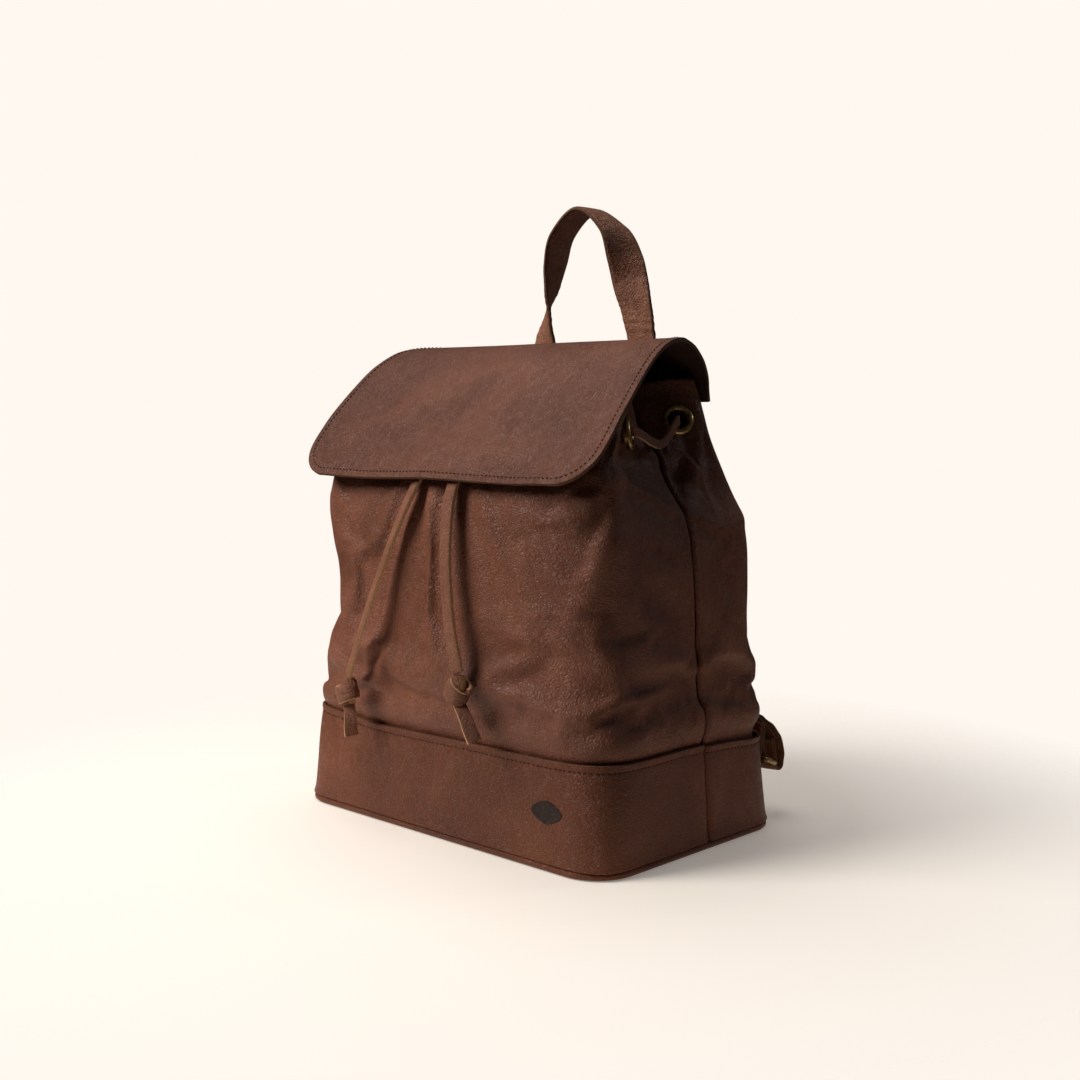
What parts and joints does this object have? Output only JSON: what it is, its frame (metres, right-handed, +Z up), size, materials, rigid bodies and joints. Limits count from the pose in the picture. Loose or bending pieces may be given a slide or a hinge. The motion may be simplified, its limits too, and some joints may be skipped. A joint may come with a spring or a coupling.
{
  "type": "leather backpack",
  "caption": "Drawstring backpack of soft brown leather with a wide fold-over flap, a stiff lower band, a carry handle, buckled shoulder straps and brass eyelets.",
  "frame": {"origin": "middle of the base's underside, on the surface that the backpack stands on", "axes": "+Z up; the front with the flap's free edge faces -Y; +X is to the right as seen from the front"},
  "size_m": [0.292, 0.2333, 0.421],
  "materials": {
    "body_leather": "pull-up leather, satin",
    "base_leather": "redder leather, satin",
    "lace_leather": "folded leather lace with raw tan edges",
    "lining": "woven cotton",
    "base_board": "pressed fibreboard",
    "antique_brass": "antique, rubbed"
  },
  "bodies": {
    "bag": {"bottom_panel": "base_leather", "bottom_board": "base_board", "bottom_welt": "base_leather", "base_band_front": "base_leather", "base_band_back": "base_leather", "front_panel": "body_leather", "back_panel": "body_leather", "lining_bag": "lining", "eyelet_front_left": "antique_brass", "washer_front_left": "antique_brass", "eyelet_fore_pleat_left": "antique_brass", "washer_fore_pleat_left": "antique_brass", "eyelet_rear_pleat_left": "antique_brass", "washer_rear_pleat_left": "antique_brass", "eyelet_front_right": "antique_brass", "washer_front_right": "antique_brass", "eyelet_fore_pleat_right": "antique_brass", "washer_fore_pleat_right": "antique_brass", "eyelet_rear_pleat_right": "antique_brass", "washer_rear_pleat_right": "antique_brass", "drawstring_loop": "lace_leather", "drawstring_tail_left": "lace_leather", "knot_left": "lace_leather", "drawstring_tail_right": "lace_leather", "knot_right": "lace_leather", "flap_root": "body_leather", "back_yoke": "base_leather", "handle_end_left": "body_leather", "handle_end_right": "body_leather", "ring_tab_left": "body_leather", "ring_tab_right": "body_leather"},
    "flap": {"flap": "body_leather"},
    "handle": {"handle": "body_leather"},
    "left_strap": {"strap_upper_left": "body_leather", "strap_lower_left": "body_leather", "buckle_frame_left": "antique_brass", "strap_keeper_left": "body_leather"},
    "left_prong": {"buckle_prong_left": "antique_brass"},
    "left_ring": {"d_ring_left": "antique_brass"},
    "right_strap": {"strap_upper_right": "body_leather", "strap_lower_right": "body_leather", "buckle_frame_right": "antique_brass", "strap_keeper_right": "body_leather"},
    "right_prong": {"buckle_prong_right": "antique_brass"},
    "right_ring": {"d_ring_right": "antique_brass"}
  },
  "joints": [
    {"name": "flap_hinge", "type": "hinge", "parent": "bag", "child": "flap", "pos_m": [0, 0.028, 0.3236], "axis": [-1, 0, 0], "range_deg": [0, 110]},
    {"name": "handle_fold", "type": "hinge", "parent": "bag", "child": "handle", "pos_m": [0, 0.0632, 0.2996], "axis": [-1, 0, 0], "range_deg": [0, 75]},
    {"name": "left_strap_swing", "type": "hinge", "parent": "bag", "child": "left_strap", "pos_m": [-0.05, 0.0825, 0.2345], "axis": [0.3798, -0.1485, 0.9131], "range_deg": [0, 35]},
    {"name": "left_ring_pivot", "type": "hinge", "parent": "bag", "child": "left_ring", "pos_m": [-0.118, 0.0986, 0.04], "axis": [-1, 0, 0], "range_deg": [0, 30]},
    {"name": "right_strap_swing", "type": "hinge", "parent": "bag", "child": "right_strap", "pos_m": [0.05, 0.0825, 0.2345], "axis": [0.3798, 0.1485, -0.9131], "range_deg": [0, 35]},
    {"name": "right_ring_pivot", "type": "hinge", "parent": "bag", "child": "right_ring", "pos_m": [0.118, 0.0986, 0.04], "axis": [-1, 0, 0], "range_deg": [0, 30]},
    {"name": "left_prong_lift", "type": "hinge", "parent": "left_strap", "child": "left_prong", "pos_m": [-0.06764, 0.10961, 0.13732], "axis": [0.954, -0.0089, -0.2997], "range_deg": [0, 40]},
    {"name": "right_prong_lift", "type": "hinge", "parent": "right_strap", "child": "right_prong", "pos_m": [0.06764, 0.10961, 0.13732], "axis": [0.954, 0.0089, 0.2997], "range_deg": [0, 40]}
  ]
}
